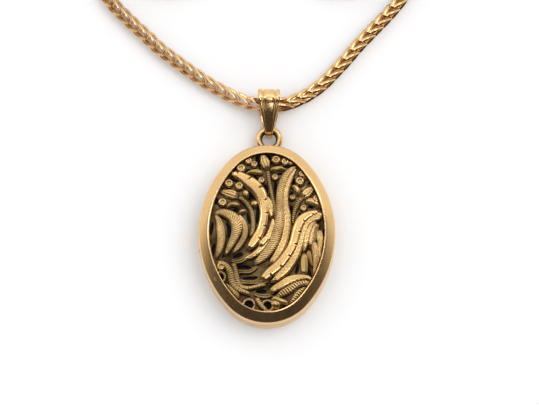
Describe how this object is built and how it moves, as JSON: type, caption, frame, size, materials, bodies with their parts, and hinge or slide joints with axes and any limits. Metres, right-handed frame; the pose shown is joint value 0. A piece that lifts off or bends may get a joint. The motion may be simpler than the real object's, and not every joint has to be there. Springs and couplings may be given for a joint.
{
  "type": "locket",
  "caption": "Oval hinged locket with a pierced, chased front over a black ground, photo frames inside, a tapered bail and a slim chain with a clasp.",
  "frame": {"origin": "middle of the case's flat back face, which lies on the surface", "axes": "+Z out of the pierced front, +Y towards the ring and bail, hinge along the -X side"},
  "size_m": [0.072, 0.1036, 0.0058],
  "materials": {
    "polished_gold": "polished",
    "chased_gold": "chased, antiqued",
    "satin_gold": "satin",
    "chain_gold": "polished",
    "black_ground": "blackened",
    "window": "clear",
    "card": "matt card",
    "steel_wire": "drawn"
  },
  "bodies": {
    "chain": {"chain_left": "chain_gold", "chain_right": "chain_gold", "chain_coil_left": "chain_gold", "chain_coil_right": "chain_gold", "jump_ring_left": "chain_gold", "end_ring_right": "chain_gold", "clasp_body": "chain_gold", "clasp_pin": "steel_wire", "clasp_spring": "steel_wire"},
    "clasp_lever": {"clasp_lever": "chain_gold"},
    "bail": {"bail": "polished_gold"},
    "case": {"back_cover": "polished_gold", "inner_bezel": "satin_gold", "catch_bead": "satin_gold", "photo_frame_back": "satin_gold", "photo_window_back": "window", "photo_card_back": "card", "hinge_knuckles_back": "polished_gold", "hinge_pin": "steel_wire", "top_ring": "polished_gold"},
    "lid": {"front_rim": "polished_gold", "openwork_panel": "chased_gold", "liner_plate": "black_ground", "photo_frame_front": "satin_gold", "photo_window_front": "window", "photo_card_front": "card", "hinge_knuckle_front": "polished_gold"}
  },
  "joints": [
    {"name": "bail_swing", "type": "hinge", "parent": "chain", "child": "bail", "pos_m": [0.0004, 0.0283, 0.00267], "axis": [-1, 0, 0], "range_deg": [0, 90]},
    {"name": "case_swing", "type": "hinge", "parent": "bail", "child": "case", "pos_m": [0.0004, 0.0226, 0.00155], "axis": [-1, 0, 0], "range_deg": [0, 30]},
    {"name": "lid_hinge", "type": "hinge", "parent": "case", "child": "lid", "pos_m": [-0.0131, 0, 0.0023], "axis": [0, -1, 0], "range_deg": [0, 110]},
    {"name": "clasp_lever_pivot", "type": "hinge", "parent": "chain", "child": "clasp_lever", "pos_m": [-0.02083, 0.0712, 0.0012], "axis": [0, 0, -1], "range_deg": [0, 22], "stiffness_Nm_per_rad": 0.001, "springref_deg": -17.19}
  ]
}
